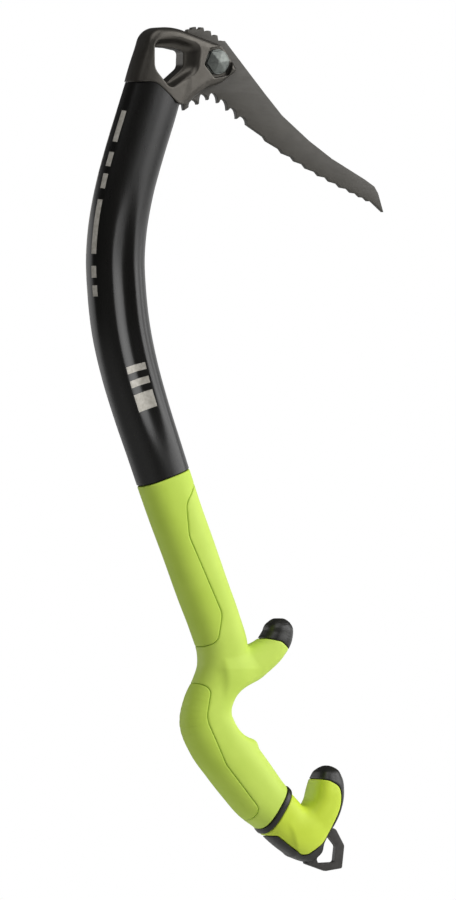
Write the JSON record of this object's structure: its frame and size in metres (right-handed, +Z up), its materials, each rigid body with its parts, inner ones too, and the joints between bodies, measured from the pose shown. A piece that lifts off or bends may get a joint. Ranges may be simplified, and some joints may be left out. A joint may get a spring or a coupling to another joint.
{
  "type": "ice axe",
  "caption": "Technical ice axe: curved tube shaft, cast head with clip hole and bolted toothed pick, moulded handle with an upper and a lower hook and a leash loop at its foot.",
  "frame": {"origin": "middle of the clip hole through the head, in the middle plane of the axe", "axes": "+Z up towards the top of the head with the axe hanging upright, +X from the shaft towards the pick tip, Y through the thickness with the pick bolt's head on the -Y side"},
  "size_m": [0.1867, 0.0288, 0.4907],
  "materials": {
    "cast_steel": "satin investment casting, dark warm grey",
    "pick_steel": "satin hot-forged plate, dark warm grey",
    "fastener_steel": "dark satin steel",
    "anodised_black": "satin black anodised",
    "plug_alloy": "plain machined alloy",
    "lime_moulding": "matt lime green moulding",
    "lime_soft_pad": "matt lime green soft-touch",
    "black_plastic": "fine textured black moulding",
    "lime_hook": "semi-matt yellow green moulding"
  },
  "bodies": {
    "axe": {"head": "cast_steel", "pick": "pick_steel", "pick_nut": "fastener_steel", "shaft": "anodised_black", "shaft_end_insert": "plug_alloy", "handle_chassis": "lime_moulding", "back_pad": "lime_soft_pad", "palm_pad": "lime_soft_pad", "upper_hook_cap": "black_plastic", "spacer_ring": "black_plastic"},
    "bolt_washer": {"pick_bolt_washer": "fastener_steel"},
    "bolt": {"pick_bolt": "fastener_steel"},
    "hook_unit": {"lower_hook": "lime_hook", "hook_frame": "black_plastic", "spike_loop": "fastener_steel"},
    "foot_screw": {"pommel_screw": "fastener_steel"}
  },
  "joints": [
    {"name": "pick_bolt_draw", "type": "slide", "parent": "axe", "child": "bolt_washer", "axis": [0, -1, 0], "range_m": [0, 0.0052]},
    {"name": "pick_bolt_turn", "type": "hinge", "parent": "bolt_washer", "child": "bolt", "pos_m": [0.0308, -0.0061, 0.0003], "axis": [0, -1, 0], "range_deg": [0, 1500]},
    {"name": "hook_unit_draw", "type": "slide", "parent": "axe", "child": "hook_unit", "axis": [0.7071, 0, -0.7071], "range_m": [0, 0.0119]},
    {"name": "foot_screw_turn", "type": "hinge", "parent": "hook_unit", "child": "foot_screw", "pos_m": [0.08561, 0, -0.45201], "axis": [0.7071, 0, -0.7071], "range_deg": [0, 5400]}
  ],
  "couplings": [
    {"joint": "pick_bolt_turn", "follows": "pick_bolt_draw", "rad_per_m": 5026.5},
    {"joint": "foot_screw_turn", "follows": "hook_unit_draw", "rad_per_m": 7854}
  ]
}
